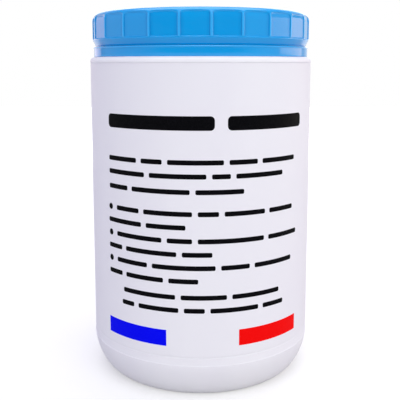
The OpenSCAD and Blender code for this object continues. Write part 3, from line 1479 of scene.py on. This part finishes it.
@dataclass
class Studio:
    """Camera, floor, backdrop and lights of a plain product photograph.

    The room is seen as white, but its light has a dim and a bright side. Glossy surfaces see a dark
    wall behind the camera, paler walls at both sides, and white behind and above the pot.
    """

    camera_back: float = 334.2
    camera_z: float = 145.9
    tilt_deg: float = 7.98
    focal_px: float = 686.5
    principal_row: float = 160.0
    axis_column: float = 200.6
    sensor_w: float = 36.0
    clip_start: float = 10.0
    lid_z: float = 0.16
    floor_w: float = 4.0
    floor_white: float = 0.6
    floor_dull: float = 0.3
    glow_span: Span = (0.62, 0.8)
    glow_levels: Span = (0.4, 1.0)
    room_dim: Colour = (0.36, 0.345, 0.56)
    room_bright: Colour = (1.45, 1.465, 1.39)
    bright_side_deg: float = 20.0
    bright_span: Span = (-0.3, 1.0)
    behind_span: Span = (0.45, 0.9)
    above_span: Span = (0.55, 1.0)
    beside_span: Span = (0.6, 0.95)
    wall_level: float = 0.03
    side_level: float = 0.75
    softboxes: tuple[Softbox, ...] = (
        Softbox("right_strip", 110, 4, 0.9, (0.72, 0.25), 1.8, (1.0, 0.76, 0.58)),
        Softbox("left_strip", -140, 4, 0.9, (0.4, 0.25), 1.0, (1.0, 0.72, 0.75)),
        Softbox("top_box", 180, 78, 1.1, (1.3, 0.7), 2.0),
        Softbox("front_box", 6, 62, 1.0, (0.7, 0.5), 1.4),
        Softbox("back_box", 176, 20, 1.3, (1.0, 0.8), 1.0, (1.0, 1.0, 0.92)),
    )

    def build(self) -> None:
        """Set up the whole studio."""
        bpy.context.scene.view_settings.view_transform = "Standard"
        self.camera()
        self.floor()
        self.world()
        for softbox in self.softboxes:
            softbox.hang(self.lid_z)

    def camera(self) -> None:
        """Place the camera as in the photograph."""
        data = bpy.data.cameras.new("photo_camera")
        data.sensor_width = self.sensor_w
        data.lens = self.focal_px / PHOTO_PX * self.sensor_w
        data.shift_y = (self.principal_row - PHOTO_PX / 2) / PHOTO_PX
        data.shift_x = (PHOTO_PX / 2 - self.axis_column) / PHOTO_PX
        data.clip_start = self.clip_start * MM
        camera = bpy.data.objects.new("photo_camera", data)
        camera.location = (0, -self.camera_back * MM, self.camera_z * MM)
        camera.rotation_euler = (math.radians(90 - self.tilt_deg), 0, 0)
        bpy.context.scene.collection.objects.link(camera)
        bpy.context.scene.camera = camera

    def floor(self) -> None:
        """Lay the pale floor, which glows to look as white as the room away from the pot's shadow."""
        deselect()
        bpy.ops.mesh.primitive_plane_add(size=self.floor_w, location=(0, 0, 0))
        floor = named("studio_floor")
        wiring = Wiring(bpy.data.materials.new("floor_white"))
        glossy = wiring.add("LightPath").outputs["Is Glossy Ray"]
        distance = wiring.add("VectorMath", {0: wiring.place}, operation="LENGTH").outputs["Value"]
        glow = wiring.between(distance, *self.glow_span, *self.glow_levels)
        wiring.fill(wiring.shader, {
            "Base Color": wiring.blend(glossy, (self.floor_white,) * 3, (self.floor_dull,) * 3),
            "Roughness": 0.9,
            "Specular IOR Level": 0.1,
            "Emission Color": (1, 1, 1, 1),
            "Emission Strength": wiring.maths("MULTIPLY", glow, wiring.seen()),
        })
        floor.data.materials.append(wiring.owner)

    def world(self) -> None:
        """Light the room softly all round, with a white background and walls for glossy surfaces."""
        world = bpy.data.worlds.new("room")
        bpy.context.scene.world = world
        wiring = Wiring(world, "Background", "Generated")
        way = wiring.add("SeparateXYZ", {"Vector": wiring.place}).outputs
        behind = wiring.between(way["Y"], *self.behind_span)
        above = wiring.between(way["Z"], *self.above_span)
        beside = wiring.between(wiring.maths("ABSOLUTE", way["X"]), *self.beside_span, 0, self.side_level)
        white = wiring.maths("MAXIMUM", wiring.maths("MAXIMUM", behind, above), beside)
        mirrored = wiring.mix(white, self.wall_level, 1.0)
        side = math.radians(self.bright_side_deg)
        axis = {0: wiring.place, 1: (math.sin(side), -math.cos(side), 0)}
        toward = wiring.add("VectorMath", axis, operation="DOT_PRODUCT").outputs["Value"]
        room = wiring.blend(wiring.between(toward, *self.bright_span), self.room_dim, self.room_bright)
        camera = wiring.add("LightPath").outputs["Is Camera Ray"]
        seen = wiring.seen()
        wiring.fill(wiring.shader, {
            "Strength": wiring.mix(seen, 1.0, wiring.mix(camera, mirrored, 1.0)),
            "Color": wiring.blend(seen, room, (1, 1, 1)),
        })


def main() -> None:
    """Build the studio and every piece of the pot in order."""
    Studio().build()
    finishes = make_finishes()
    for sub_assembly in (Pot, Label, TamperBand, Lid, Liner, WaxSticks):
        sub_assembly(finishes).build()


if __name__ == "__main__":
    main()
